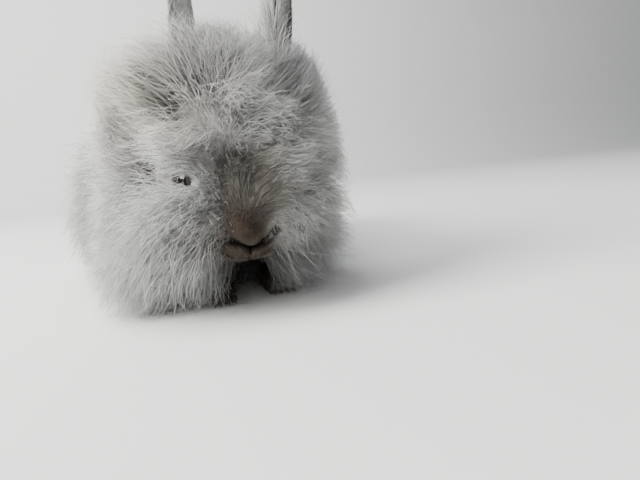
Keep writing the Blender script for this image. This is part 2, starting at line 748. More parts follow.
def ear_points(root, tip, opens, t, a):
    """The ear: a flattened oval bent round its own length into a cup, tightest at its root."""
    up = unit(tip - root)
    length = np.linalg.norm(tip - root)
    face = unit(opens - (opens @ up) * up)
    across = np.cross(up, face)
    share = (1 - np.cos(np.pi * t)) / 2
    flat = EAR_FLAT_WIDTH * np.sqrt(np.maximum(0, curve_through(EAR_PLACES, EAR_WIDTHS**2, share)))
    roll = np.radians(mix(EAR_ROLL_ROOT, EAR_ROLL_TIP, ease(0.1, 1, share)))
    radius = flat / (2 * roll)
    wall = EAR_WALL / 2 * np.sqrt(np.clip(flat / (0.3 * EAR_FLAT_WIDTH), 0, 1))
    turn = roll * np.cos(a)
    off = wall * np.sign(np.sin(a)) * np.sqrt(np.abs(np.sin(a)))
    backward = -EAR_BACKWARD * np.sin(np.pi * share)
    return (
        root
        + (length * share)[..., None] * up
        + (backward + radius - (radius + off) * np.cos(turn))[..., None] * face
        + ((radius + off) * np.sin(turn))[..., None] * across
    )


def ear_axis(side, lean):
    """Root and tip of an ear that rises in that direction from the back of the skull."""
    root_s, root_x, root_z = EAR_ROOT
    root = on_head(root_s * H, side * root_x * H, root_z * H)
    return root, root + EAR_LENGTH * unit(lean)


def lid_ways(looks):
    """Directions along and across the lids of an eye that looks that way."""
    length_way = unit(np.cross(looks, np.cross(-head_forward + LID_TILT * head_up, looks)))
    return length_way, np.cross(looks, length_way)


def lid_opening(around):
    """Angle from the eye's middle to the edge of its lids, an oval over the angle around."""
    return 1 / np.hypot(np.cos(around) / LID_OPEN_LONG, np.sin(around) / LID_OPEN_HIGH)


def on_ball(angle, around, looks):
    """Directions from an eye's middle, at an angle from where it looks and an angle around."""
    length_way, height_way = lid_ways(looks)
    flat = np.cos(around)[..., None] * length_way + np.sin(around)[..., None] * height_way
    return np.cos(angle)[..., None] * looks + np.sin(angle)[..., None] * flat


EARS = {
    "ear_right": (*ear_axis(-1, (0.06, 0.17, 1)), np.array([-0.9, 0.1, 0])),
    "ear_left": (*ear_axis(1, (0.22, 0.1, 1)), np.array([0.8, -0.6, 0])),
}


def foot_form(heel, toe, wide, high):
    """A foot: a low form whose sole lies at floor level."""
    heel, toe = np.asarray(heel, float), np.asarray(toe, float)
    length = np.linalg.norm(toe - heel)
    sections = [
        (0, 0, 0.3 * high, 0.3 * high),
        (0.12 * length, 0.7 * wide, 0.85 * high, -1.5),
        (0.45 * length, 0.85 * wide, high, -2),
        (0.8 * length, wide, 0.8 * high, -2),
        (length, 0, 0.25 * high, 0.25 * high),
    ]
    return BodyForm(heel, toe - heel, (0, 0, 1), sections, squareness=2.3)


FEET = {}
for side, side_name in ((-1, "right"), (1, "left")):
    FEET["hindfoot_" + side_name] = ((side * 31, 70, 0), (side * 41, 6, 0), 7.0, 12.0)
    heel = (FOREPAWS_SHIFT + side * WRIST[0], -39, 0)
    FEET["forepaw_" + side_name] = (heel, (-4 + side * 11, -65, 0), 5.6, 9.0)


def toes_of(heel, toe, wide):
    """Middle, forward and sideways directions and width of each toe of a foot."""
    heel, toe = np.asarray(heel, float), np.asarray(toe, float)
    length = np.linalg.norm(toe - heel)
    along = (toe - heel) / length
    side = np.cross(along, [0, 0, 1])
    toe_wide = TOE_SHARE * wide / TOES
    for i in range(TOES):
        across = (i - (TOES - 1) / 2) * toe_wide
        middle = heel + (length - 0.35 * toe_wide - 0.1 * abs(across)) * along + across * side
        middle[2] = 0.5 * toe_wide
        yield middle, along, side, toe_wide


skin = closed_piece("skin", with_underwool(head_form, head_coat, 210, 220, face_relief))
skin_parts = [
    closed_piece("neck_part", with_underwool(neck_form, mane_depth, 40, 64)),
    closed_piece("trunk_part", with_underwool(trunk_form, trunk_coat, 80, 110)),
    closed_piece("tail_part", with_underwool(tail_form, tail_coat, 24, 36)),
    closed_piece("thigh_part", with_underwool(thigh_right, thigh_coat, 44, 56)),
    closed_piece("thigh_part", with_underwool(thigh_left, thigh_coat, 44, 56)),
]
for root, tip, opens in EARS.values():
    skin_parts.append(closed_piece("ear_part", ear_points(root, tip, opens, *full_grid(60, 72))))
for centre, looks in zip(eye_centres, eye_outs):
    around = np.linspace(0, 2 * np.pi, LID_COLUMNS, endpoint=False)
    edge = lid_opening(around)[None, :]
    outer = mix(edge, LID_FOOT, np.linspace(0.03, 1, LID_OUTER_ROWS)[:, None] ** 1.3)
    inner = mix(edge, LID_FOOT, np.linspace(1, 0.03, LID_INNER_ROWS)[:, None])
    angles = np.concatenate([edge, outer, inner])
    radii = [0.5 * (LID_OUTER + LID_INNER)] + LID_OUTER_ROWS * [LID_OUTER] + LID_INNER_ROWS * [LID_INNER]
    lid = centre + np.array(radii)[:, None, None] * on_ball(angles, around, looks)
    skin_parts.append(ring_piece("lid_part", lid))
for heel, toe, wide, high in FEET.values():
    skin_parts.append(closed_piece("foot_part", foot_form(heel, toe, wide, high).skin(*full_grid(36, 44))))
    for middle, along, side_way, toe_wide in toes_of(heel, toe, wide):
        toe_radii = TOE_THICK * np.array([1, TOE_LONG, 1]) * toe_wide
        toe_axes = [side_way, along, (0, 0, 1)]
        skin_parts.append(closed_piece("toe_part", oval_points(middle, toe_axes, toe_radii)))
for side in (-1, 1):
    elbow = np.array([side * ELBOW[0], *ELBOW[1:]])
    wrist = np.array([FOREPAWS_SHIFT + side * WRIST[0], *WRIST[1:]])
    reach = np.linalg.norm(wrist - elbow)
    way = (wrist - elbow) / reach
    across = unit(np.cross(way, [0, 0, 1]))
    arm_sections = [(-6, 0, 0, 0), (4, 8, 9, -8), (0.6 * reach, 6, 6, -6), (reach + 5, 0, 0, 0)]
    forearm = BodyForm(elbow, way, np.cross(across, way), arm_sections)
    skin_parts.append(closed_piece("forearm_part", forearm.skin(*full_grid(24, 30))))

wide_of_it = (-FLOOR_CUT_REACH, FLOOR_CUT_REACH)
below_floor = np.array([[x, y, z] for x in wide_of_it for y in wide_of_it for z in (-FLOOR_CUT_DEPTH, 0)])
box_faces = np.array([[0, 1, 3, 2], [4, 6, 7, 5], [0, 4, 5, 1], [2, 3, 7, 6], [0, 2, 6, 4], [1, 5, 7, 3]])
floor_cut = mesh_piece("floor_cut", below_floor, box_faces, None, smooth=False)
parts_group = bpy.data.collections.new("skin parts")
bpy.context.scene.collection.children.link(parts_group)
for part in skin_parts:
    bpy.context.scene.collection.objects.unlink(part)
    parts_group.objects.link(part)
join = skin.modifiers.new("join", "BOOLEAN")
join.operation = "UNION"
join.operand_type = "COLLECTION"
join.collection = parts_group
join.solver = "MANIFOLD"
trim = skin.modifiers.new("trim", "BOOLEAN")
trim.operation = "DIFFERENCE"
trim.object = floor_cut
trim.solver = "MANIFOLD"
bpy.context.view_layer.update()
whole = bpy.data.meshes.new_from_object(skin.evaluated_get(bpy.context.evaluated_depsgraph_get()))
skin.modifiers.clear()
skin.data = whole
whole.name = "skin"
for part in [*skin_parts, floor_cut]:
    bpy.data.objects.remove(part)
bpy.data.collections.remove(parts_group)
whole.shade_smooth()


def read_points(mesh):
    """The points of a mesh in millimetres."""
    flat = np.zeros(len(mesh.vertices) * 3, np.float32)
    mesh.vertices.foreach_get("co", flat)
    return flat.reshape(-1, 3).astype(float) * 1000


def paint(mesh, colours):
    """Stores a colour for each point as the attribute that the coat's materials read."""
    layer = mesh.color_attributes.new(name="coat_colour", type="FLOAT_COLOR", domain="POINT")
    layer.data.foreach_set("color", np.concatenate([colours, np.ones((len(colours), 1))], axis=1).ravel())


def ear_shares(p, root, tip, opens):
    """Height of points along an ear, and how far they lie to its open side, in its half widths."""
    up = unit(tip - root)
    face = unit(opens - (opens @ up) * up)
    d = p - root
    return (d @ up) / EAR_LENGTH, (d @ face - EAR_FLAT_WIDTH * 0.12) / (EAR_FLAT_WIDTH / 2)


EAR_CUP = np.array([0.04, 0.03, 0.022])
EAR_BACK = np.array([0.42, 0.415, 0.405])
SKIN_ALONG = 0.22
SKIN_CLOUDING = 0.1
skin_points = read_points(whole)
skin_share = SKIN_ALONG + SKIN_CLOUDING * waves(skin_points, 3, 43)
skin_tint = coat_colour(skin_points, np.clip(skin_share, 0, 1))
for root, tip, opens in EARS.values():
    height, cupped = ear_shares(skin_points, root, tip, opens)
    off_axis = np.linalg.norm(skin_points - root - (height * EAR_LENGTH)[:, None] * unit(tip - root), axis=-1)
    on_ear = ease(0.1, 0.2, height) * ease(22, 18, off_axis)
    ear_tint = mix(EAR_BACK, EAR_CUP, ease(-0.2, 0.1, cupped)[:, None])
    skin_tint = mix(skin_tint, ear_tint, on_ear[:, None])
paint(whole, skin_tint)

HAIR_GLOSS = 0.15
SHEEN_ROUGHNESS = 0.5
MOTTLE_GRAIN = 420
BUMP_SIZE = 0.0011
BUMP_DEPTH = 0.0006


def hair_material(name, roughness, sheen, variation):
    """A coat finish: the painted colour with fine mottling, up to variation each way, and a soft sheen."""
    material = finish_material(name, (1, 1, 1), roughness, HAIR_GLOSS)
    nodes, links = material.node_tree.nodes, material.node_tree.links
    shader = nodes["Principled BSDF"]
    set_inputs(shader, {"Sheen Weight": sheen, "Sheen Roughness": SHEEN_ROUGHNESS})
    painted = nodes.new("ShaderNodeAttribute")
    painted.attribute_name = "coat_colour"
    place = nodes.new("ShaderNodeTexCoord")
    mottle = nodes.new("ShaderNodeTexNoise")
    set_inputs(mottle, {"Scale": MOTTLE_GRAIN, "Detail": 3})
    links.new(place.outputs["Object"], mottle.inputs["Vector"])
    spread = nodes.new("ShaderNodeMapRange")
    set_inputs(spread, {"From Min": 0.3, "From Max": 0.7, "To Min": 1 - variation, "To Max": 1 + variation})
    links.new(mottle.outputs["Fac"], spread.inputs["Value"])
    tinted = nodes.new("ShaderNodeVectorMath")
    tinted.operation = "SCALE"
    links.new(painted.outputs["Color"], tinted.inputs[0])
    links.new(spread.outputs["Result"], tinted.inputs["Scale"])
    links.new(tinted.outputs["Vector"], shader.inputs["Base Color"])
    return material


def add_bumps(material, size, depth):
    """Gives a finish fine bumps of about that size and depth."""
    nodes, links = material.node_tree.nodes, material.node_tree.links
    grains = nodes.new("ShaderNodeTexNoise")
    set_inputs(grains, {"Scale": 1 / size, "Detail": 4, "Roughness": 0.7})
    links.new(nodes["Texture Coordinate"].outputs["Object"], grains.inputs["Vector"])
    bump = nodes.new("ShaderNodeBump")
    set_inputs(bump, {"Strength": 0.8, "Distance": depth})
    links.new(grains.outputs["Fac"], bump.inputs["Height"])
    links.new(bump.outputs["Normal"], nodes["Principled BSDF"].inputs["Normal"])


skin_finish = hair_material("short fur over skin", 0.8, 0.03, 0.25)
add_bumps(skin_finish, BUMP_SIZE, BUMP_DEPTH)
whole.materials.clear()
whole.materials.append(skin_finish)
flesh_nodes = ["head", "neck", "torso", "tail"]
for side_name in ("left", "right"):
    flesh_nodes += [part + side_name for part in ("haunch_", "hindfoot_", "forepaw_", "forearm_", "ear_")]
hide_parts(*flesh_nodes)
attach(skin, "root")

# Eyes: dark balls, wet and glossy, 11 mm across. They sit in their sockets and show between the lids, and
# their brown is so deep that iris and pupil look alike.
EYE_DARK = (0.006, 0.005, 0.005)
EYE_BROWN = (0.014, 0.009, 0.008)
EYE_GRAIN = 260


def clouded(finish, grain, dark, pale):
    """Lets a finish's colour go from dark to pale in soft clouds, about so many to the metre."""
    nodes, links = finish.node_tree.nodes, finish.node_tree.links
    place = nodes.new("ShaderNodeTexCoord")
    cloud = nodes.new("ShaderNodeTexNoise")
    set_inputs(cloud, {"Scale": grain})
    ramp = nodes.new("ShaderNodeValToRGB")
    ramp.color_ramp.elements[0].color = (*dark, 1)
    ramp.color_ramp.elements[1].color = (*pale, 1)
    links.new(place.outputs["Object"], cloud.inputs["Vector"])
    links.new(cloud.outputs["Fac"], ramp.inputs["Fac"])
    links.new(ramp.outputs["Color"], nodes["Principled BSDF"].inputs["Base Color"])


eye_finish = finish_material("dark wet eye", EYE_DARK, 0.08, 0.35)
clouded(eye_finish, EYE_GRAIN, EYE_DARK, EYE_BROWN)
for centre, side_name in zip(eye_centres, ("right", "left")):
    ball = oval_points(centre, np.eye(3), np.full(3, EYE_RADIUS), 40, 56)
    eye = closed_piece("eyeball_" + side_name, ball, eye_finish)
    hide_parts("eye_" + side_name)
    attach(eye, "root")

# Claws: short curved cones of dark horn, one at the tip of each toe, half hidden by the fur between the
# toes. All of them are one piece.
CLAW_RADIUS = 0.8
CLAW_LENGTH = 5.0
CLAW_CURVE = 0.5
CLAW_RISE = 0.38
CLAW_DROP = 0.12
CLAW_SET_FORWARD = 0.45
CLAW_GRAIN = 900
CLAW_DARK = (0.05, 0.038, 0.03)
CLAW_PALE = (0.14, 0.11, 0.09)
claw_finish = finish_material("claw horn", (0.07, 0.055, 0.045), 0.35)
clouded(claw_finish, CLAW_GRAIN, CLAW_DARK, CLAW_PALE)
claw_t, claw_a = full_grid(10, 10)
claw_thick = CLAW_RADIUS * np.sqrt(np.maximum(0, 1 - claw_t)) * ease(-0.02, 0.08, claw_t)
claw_surfaces = []
for heel, toe, wide, _ in FEET.values():
    for middle, along, side_way, toe_wide in toes_of(heel, toe, wide):
        rise = CLAW_RISE * toe_wide + CLAW_CURVE * np.sin(np.pi * claw_t) - CLAW_DROP * toe_wide * claw_t
        base = middle + along * CLAW_SET_FORWARD * toe_wide
        base[2] = 0
        rows = (
            base
            + (CLAW_LENGTH * claw_t)[..., None] * along
            + (claw_thick * np.cos(claw_a))[..., None] * side_way
            + (rise + claw_thick * np.sin(claw_a))[..., None] * np.array([0, 0, 1])
        )
        claw_surfaces.append(closed_surface(rows))
claw_points = np.concatenate([points for points, _ in claw_surfaces])
claw_faces = np.concatenate([faces + i * len(points) for i, (points, faces) in enumerate(claw_surfaces)])
claws = mesh_piece("claws", claw_points, claw_faces, claw_finish)
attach(claws, "root")

# The mane: long fine wool on head, neck and chest, in tapering strands that draw together into wisps. It
# parts in front of the face and the eyes, leaves a dark hollow under the chin and hangs to the floor.
WOOL_LEVELS = np.array([0.0, 0.34, 0.7, 1.0])
DOWN_LEVELS = np.array([0.0, 0.5, 1.0])
WOOL_WIDTH = 0.19
DOWN_WIDTH = 0.14
PATCH = 0.003
FLOOR_GAP = 0.7
SKIN_SINK = 1.2
FACE_OPENING = (6.8, 12.5)
CHIN_HOLLOW = (7.4, 8.2)
TRIES_PER_WISP = 8
WISPS_IN_TUFT = 7
TUFT_PULL = 9
LOOSE_SHARE = 0.16
LOOSE_HOLD = 0.15
OWN_SPREAD = 0.16
DOWN_SPRINGS_AT = (0.3, 0.85)
DOWN_RUNS_ON = (0.7, 1.35)
DOWN_SHORTEST = 2.5
DOWN_STUMP = 0.6
LEAST_SPAN_ALONG = 8
LEAST_SPAN_AROUND = 4
SIDES = 3
TRIM_SEED = 6
TURN_SEED = 7
RAGGED_EDGE = 0.1
TRIES_PER_SPAN = 6
CUT_SHORT_BY = 0.2
EYE_WINDOW = (1.35, 1.5)
CHEEK_PUFF_PLACE = (6.0, 0.0)
CHEEK_PUFF = (4.2, 6.2)
HOLLOW_EDGE_BROWN = THROAT_BROWN * 1.5
wool_finish = hair_material("silvery wool", 0.7, 0.35, 0.08)

face_out = unit(0.744 * head_forward + 0.666 * head_up - 0.048 * head_left)
eye_out = unit(0.777 * head_forward + 0.625 * head_up + 0.075 * head_left)
right_window = eye_centres[0] + 0.52 * EYE_RADIUS * eye_outs[0] + 0.4 * head_left
left_window = eye_centres[1] + 0.8 * EYE_RADIUS * eye_outs[1]
# Each opening: its middle, the way out, its oval's half sizes, how far behind the middle it begins, and an
# oval in it, by middle and half sizes, that wool fills.
openings = [
    (on_head(0.12 * H, -0.02 * H, 0.045 * H), face_out, FACE_OPENING, 2, (CHEEK_PUFF_PLACE, CHEEK_PUFF)),
    (HOLLOW_PLACE, HOLLOW_WAY, CHIN_HOLLOW, 42, None),
    (right_window, eye_out, EYE_WINDOW, 1, None),
    (left_window, eye_outs[1], EYE_WINDOW, 1, None),
]


def passage_places(p, middle, way):
    """How far points lie sideways and upwards from the axis of a passage that leads that way."""
    upward = unit(head_up - (head_up @ way) * way)
    d = p - middle
    return d @ np.cross(way, upward), d @ upward


def in_oval(u, v, middle, radii):
    """Below 1 inside an oval, and 1 on its edge."""
    return ((u - middle[0]) / radii[0]) ** 2 + ((v - middle[1]) / radii[1]) ** 2


def kept_free(p, grow=1.0):
    """Whether points lie in an opening of the mane, an oval passage that leads outwards from its middle.

    The right cheek's wool puffs out over one side of the face's passage, so an oval there isn't kept free.
    """
    free = np.zeros(p.shape[:-1], bool)
    grow = grow * (1 + RAGGED_EDGE * waves(p, 7, 58))
    for middle, way, radii, behind, puff in openings:
        u, v = passage_places(p, middle, way)
        inside = (in_oval(u, v, (0, 0), radii) < grow**2) & ((p - middle) @ way > -behind)
        if puff:
            inside &= in_oval(u, v, *puff) > (2 - grow) ** 2
        free |= inside
    return free


def scatter(form, clumps, strands, clump_size, weight, avoid, draw):
    """Clump middles drawn evenly by area and weight, and strand roots spread like a bell round each."""
    tries = clumps * TRIES_PER_WISP
    t = draw.uniform(0.015, 0.985, tries)
    a = draw.uniform(0, 2 * np.pi, tries)
    p = form.skin(t, a)
    down, around = form.spans(t, a)
    out = form.outward(t, a)
    likely = np.linalg.norm(np.cross(down, around), axis=-1) * weight(p, out)
    for other in avoid:
        likely = likely * ~other.holds(p, -1.0)
    middle = draw.choice(tries, size=clumps, replace=False, p=likely / likely.sum())
    clump = np.repeat(np.arange(clumps), strands)
    t, a, down, around = t[middle][clump], a[middle][clump], down[middle][clump], around[middle][clump]
    apart = draw.normal(size=(2, clumps * strands)) * clump_size
    apart[:, ::strands] = 0
    root_t = t + apart[0] / np.maximum(np.linalg.norm(down, axis=-1), LEAST_SPAN_ALONG)
    root_a = a + apart[1] / np.maximum(np.linalg.norm(around, axis=-1), LEAST_SPAN_AROUND)
    return np.clip(root_t, T_ENDS, 1 - T_ENDS), root_a, clump


def bent_paths(root, start, end, length, levels):
    """Points that set off along start and bend over evenly to end: the way's integral along the strand."""
    k = levels[None, :, None]
    return root[:, None] + length[:, None, None] * (start[:, None] * (k - k**2 / 2) + end[:, None] * k**2 / 2)


def trimmed(paths):
    """Strands cut short where they would enter an opening: their points spread anew over what is left."""
    spans = paths.shape[1] - 1
    tries = np.linspace(0, spans, TRIES_PER_SPAN * spans + 1)
    grow = np.clip(np.random.default_rng(TRIM_SEED).normal(1.0, 0.12, (len(paths), 1)), 0.7, 1.3)
    entered = kept_free(on_paths(paths, np.broadcast_to(tries, (len(paths), len(tries)))), grow)
    first = np.where(entered.any(axis=1), tries[entered.argmax(axis=1)], spans + CUT_SHORT_BY)
    kept = np.clip(first - CUT_SHORT_BY, 0.03, spans)
    return on_paths(paths, kept[:, None] * np.linspace(0, 1, spans + 1))


def on_paths(paths, steps):
    """The points so many steps along each strand, from 0 at its root, straight between its own points."""
    k = np.clip(steps.astype(int), 0, paths.shape[1] - 2)
    before = np.take_along_axis(paths, k[..., None], axis=1)
    after = np.take_along_axis(paths, k[..., None] + 1, axis=1)
    return mix(before, after, (steps - k)[..., None])


def gathered(paths, wisps, hold, draw):
    """Wisps bent to the leading wisp of their tuft, the nearest one, more towards the tips."""
    strands = len(paths) // wisps
    leads = paths[::strands]
    chosen = draw.choice(wisps, wisps // WISPS_IN_TUFT, replace=False)
    nearest = np.linalg.norm(leads[:, None, 1] - leads[None, chosen, 1], axis=-1).argmin(axis=1)
    pull = leads[chosen[nearest]] - leads
    far = np.maximum(np.linalg.norm(pull[:, -1], axis=-1), TUFT_PULL)
    pull = pull * (TUFT_PULL / far)[:, None, None]
    share = np.clip(draw.normal(hold, 0.15, wisps), 0, 0.8)
    return paths + np.repeat(pull * share[:, None, None], strands, axis=0) * (WOOL_LEVELS**1.6)[:, None]


def drawn_together(paths, wisps, hold, draw):
    """Strands pulled to the middle strand of their wisp, more towards the tips; a few stay loose."""
    strands = len(paths) // wisps
    wisp = np.repeat(np.arange(wisps), strands)
    loose = draw.uniform(size=len(paths)) < LOOSE_SHARE
    held = np.clip(draw.normal(hold, 0.18, wisps), 0.05, 0.9)[wisp] * np.where(loose, LOOSE_HOLD, 1)
    return mix(paths, paths[::strands][wisp], held[:, None, None] * (WOOL_LEVELS**1.4)[:, None])


def off_floor(paths, gap):
    """Strands whose points are lifted at least so far over the floor."""
    paths[..., 2] = np.maximum(paths[..., 2], gap)
    return paths


def as_wool(paths, wisps, gather, hold, frizz, draw):
    """Single strands made wool: in tufts and wisps, frizzy, clear of the openings and over the floor."""
    paths = gathered(paths, wisps, gather, draw)
    paths = drawn_together(paths, wisps, hold, draw)
    paths[:, 1:] += frizz * draw.normal(size=paths[:, 1:].shape)
    return off_floor(trimmed(paths), FLOOR_GAP)


def strand_mesh(name, paths, widths, levels, tints, places, material):
    """Closed strands: three-sided rings carried along each path between a point at its root and its tip.

    paths and tints hold each strand's points and colours, widths its rings' and places its root's place on
    the unwrapped skin, where the strand has its patch of the map.
    """
    count, rings = paths.shape[0], paths.shape[1] - 2
    tangent = unit(np.gradient(paths, axis=1))[:, 1:-1]
    facing = unit(np.random.default_rng(TURN_SEED).normal(size=(count, 1, 3)))
    side = unit(np.cross(tangent, facing))
    third = np.cross(tangent, side)
    turn = 2 * np.pi * np.arange(SIDES) / SIDES
    section = np.cos(turn)[:, None] * side[:, :, None] + np.sin(turn)[:, None] * third[:, :, None]
    base = rings * SIDES
    body = (paths[:, 1:-1, None] + widths[:, :, None, None] / 2 * section).reshape(count, base, 3)
    points = np.concatenate([body, paths[:, :1], paths[:, -1:]], axis=1)
    faces, corners = [], []
    for j in range(SIDES):
        u0, u1 = j / SIDES, (j + 1) / SIDES
        beside = (j + 1) % SIDES
        faces.append([base, beside, j])
        corners.append([((u0 + u1) / 2, 0), (u1, levels[1]), (u0, levels[1])])
        for i in range(rings - 1):
            here, next_one, v0, v1 = i * SIDES + j, i * SIDES + beside, levels[i + 1], levels[i + 2]
            faces += [[here, next_one, next_one + SIDES], [here, next_one + SIDES, here + SIDES]]
            corners += [[(u0, v0), (u1, v0), (u1, v1)], [(u0, v0), (u1, v1), (u0, v1)]]
        faces.append([base - SIDES + j, base - SIDES + beside, base + 1])
        corners.append([(u0, levels[-2]), (u1, levels[-2]), ((u0 + u1) / 2, 1)])
    first = (base + 2) * np.arange(count)[:, None, None]
    piece = mesh_piece(name, points.reshape(-1, 3), (np.array(faces) + first).reshape(-1, 3), material)
    ring_tints = np.repeat(tints[:, 1:-1], SIDES, axis=1)
    paint(piece.data, np.concatenate([ring_tints, tints[:, :1], tints[:, -1:]], axis=1).reshape(-1, 3))
    bake_map = piece.data.uv_layers.new(name="OFBake")
    spots = places[:, None, None] + PATCH * np.array(corners)
    bake_map.data.foreach_set("uv", spots.astype(np.float32).ravel())
    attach(piece, "root")
    return piece


def map_places(t, a, part_of_map):
    """A root's place on its form's unwrap, a across and t up, in that part of the map: corner and size."""
    flat = np.stack([(a / (2 * np.pi)) % 1, t], axis=-1)
    return np.array(part_of_map[:2]) + flat * (np.array(part_of_map[2:]) - PATCH)


TAPER_PLACES = [0, 0.35, 1]
TAPER_WIDTHS = [0.9, 1.0, 0.35]


def strand_widths(count, width, levels, draw):
    """Widths of a strand's rings, finer towards the tip, each strand a little finer or coarser."""
    profile = np.interp(levels[1:-1], TAPER_PLACES, TAPER_WIDTHS)
    return width * np.clip(draw.normal(1, 0.22, (count, 1)), 0.5, 1.7) * profile


def near_hollow(p):
    """1 at the edge of the hollow under the chin, falling to 0 at about twice its size."""
    u, v = passage_places(p, HOLLOW_PLACE, HOLLOW_WAY)
    reach = np.hypot(u / CHIN_HOLLOW[0], v / CHIN_HOLLOW[1])
    return ease(2.0, 1.0, reach) * head_ease(0.2, 0.0, (p - HOLLOW_PLACE) @ head_up)


def strand_tints(p, levels, draw, first=0.0):
    """The markings at the root, paler towards the tip, from first on, each strand lighter or darker."""
    first = np.broadcast_to(first, len(p))[:, None]
    along = (first + (1 - first) * levels) ** 1.1 + 0.07 * draw.normal(size=(len(p), 1))
    tints = np.stack([coat_colour(p, np.clip(along[:, i], 0, 1.15)) for i in range(len(levels))], axis=1)
    return np.clip(tints * (1 + 0.06 * draw.normal(size=(len(p), 1, 1))), 0.004, 0.95)


def down_hairs(paths, count, most, curl, stops, draw):
    """Fine frizzy hairs that spring from the upper part of the strands and run on about as far as their tips.

    Gives their paths, the strand that each one springs from and how far along it.
    """
    strand = draw.integers(0, len(paths), count)
    along = draw.uniform(*DOWN_SPRINGS_AT, count)
    k = np.clip(np.searchsorted(WOOL_LEVELS, along) - 1, 0, len(WOOL_LEVELS) - 2)
    share = ((along - WOOL_LEVELS[k]) / (WOOL_LEVELS[k + 1] - WOOL_LEVELS[k]))[:, None]
    before, after = paths[strand, k], paths[strand, k + 1]
    root = mix(before, after, share)
    way = unit(after - before)
    whole = np.linalg.norm(np.diff(paths, axis=1), axis=-1).sum(axis=1)[strand]
    length = np.clip(whole * (1 - along) * draw.uniform(*DOWN_RUNS_ON, count), DOWN_SHORTEST, most)
    start = unit(way + 0.5 * curl * draw.normal(size=way.shape))
    end = unit(way + curl * draw.normal(size=way.shape))
    length = np.minimum(length, reach_until(stops, root, (start + end) / 2, most))
    down = trimmed(bent_paths(root, start, end, np.maximum(length, DOWN_STUMP), DOWN_LEVELS))
    return off_floor(down, FLOOR_GAP), strand, along


def wool_pieces(name, wool, part_of_map, width, down_width, down, browned, draw):
    """A region's wool and its down as two pieces, browned near the hollow under the chin.

    wool holds the strands with their roots' places, and down how many hairs the down has, how long they may
    be, how they curl and what stops them.
    """
    paths, p, t, a = wool
    widths = strand_widths(len(p), width, WOOL_LEVELS, draw)
    tints = strand_tints(p, WOOL_LEVELS, draw)
    tints = mix(tints, HOLLOW_EDGE_BROWN, (browned * near_hollow(paths))[..., None])
    strand_mesh(name, paths, widths, WOOL_LEVELS, tints, map_places(t, a, part_of_map), wool_finish)
    hairs, strand, along = down_hairs(paths, *down, draw)
    widths = strand_widths(len(hairs), down_width, DOWN_LEVELS, draw)
    tints = strand_tints(p[strand], DOWN_LEVELS, draw, along)
    tints = mix(tints, HOLLOW_EDGE_BROWN, (browned * near_hollow(hairs))[..., None])
    places = map_places(t[strand], a[strand], part_of_map)
    strand_mesh(name + "_down", hairs, widths, DOWN_LEVELS, tints, places, wool_finish)


# Lines on the mane's front where it parts: over the brow, under the crown's top tufts, and over the cheek.
PARTING_PLACES = [
    [(-9, -90, 70), (-11, -93, 63), (-15, -94, 57), (-18, -94, 51), (-20, -94, 47)],
    [(-12, -75, 85), (-13, -84, 78), (-13, -88, 73), (-9, -90, 70)],
    [(-9, -90, 70), (-2, -91, 67), (4, -90, 66), (10, -89, 62), (14, -87, 58)],
    [(-12, -96, 45), (-1, -96, 40), (13, -90, 33)],
]
PARTINGS = [np.array(line) for line in PARTING_PLACES]
PARTING_DEPTH = 0.16
PARTING_WIDTH = 4.5
MANE_STRANDS = 18
MANE_WISP_SIZE = 2.0
MANE_WHORL = 19
EAR_TUFT_SPREAD = 13
EAR_TUFTS = {"ear_right": 0.07, "ear_left": 0.15}
MANE_LONGEST = MANE_DEEPEST * 1.3
MANE_SHORTEST = 6
MANE_GATHER = 0.4
MANE_DOWN = 15.0
MANE_SEED = 60
DOWN_PAST_MANE = 1.1
HOLLOW_BROWNING = 0.8
HEAD_MAP = (0.0, 0.5, 0.5, 0.5)
NECK_MAP = (0.5, 0.5, 0.5, 0.5)


def along_skin(way, out):
    """The direction of way flattened to the skin, which is square to out."""
    return unit(way - (way * out).sum(-1)[:, None] * out)


def whorls(p, size, seeds):
    """Directions that turn smoothly from place to place, in whorls of about that size."""
    return np.stack([waves(p, size, seed) for seed in seeds], axis=-1)


def mane_ways(p, out):
    """How wool sets off and how it ends: away from the nose, over and down, in whorls and partings."""
    s, x, z = head_places(p)
    lie = along_skin(p - on_head(0.2 * H, 0, 0), out)
    calm = 1 - 0.55 * head_ease(0.0, 0.2, z) * head_ease(0.2, 0.05, -x)
    whorl = whorls(p, MANE_WHORL, (51, 52, 53)) * calm[:, None]
    low = ease(58, 22, p[:, 2])[:, None]
    fringe = head_ease(0.66, 0.5, s) * head_ease(0.0, 0.12, z) * head_ease(0.24, 0.14, np.abs(x))
    parted = x + mix(0.02 * H, 0.1 * H, head_ease(0.8, 0.5, s))
    silky = (head_ease(0.02, 0.14, x) * head_ease(0.85, 0.5, s) * head_ease(0.1, -0.02, z))[:, None]
    side = np.sign(parted) * head_ease(0.0, 0.04, np.abs(parted)) * head_ease(-0.05, 0.1, z)
    sideways = side[:, None] * head_left
    over_brow = unit(0.75 * head_forward + 0.35 * out + 0.75 * DOWN + 0.9 * sideways)
    start = unit(mix(0.95, 0.42, silky) * out + mix(0.45, 0.9, silky) * lie + 0.3 * whorl + 0.3 * sideways)
    end = 0.2 * out + 0.75 * lie + mix(0.75, 0.3, silky) * whorl + (0.2 + 0.55 * low) * DOWN + 0.35 * sideways
    end = unit(mix(unit(end), over_brow, fringe[:, None]))
    return start, end


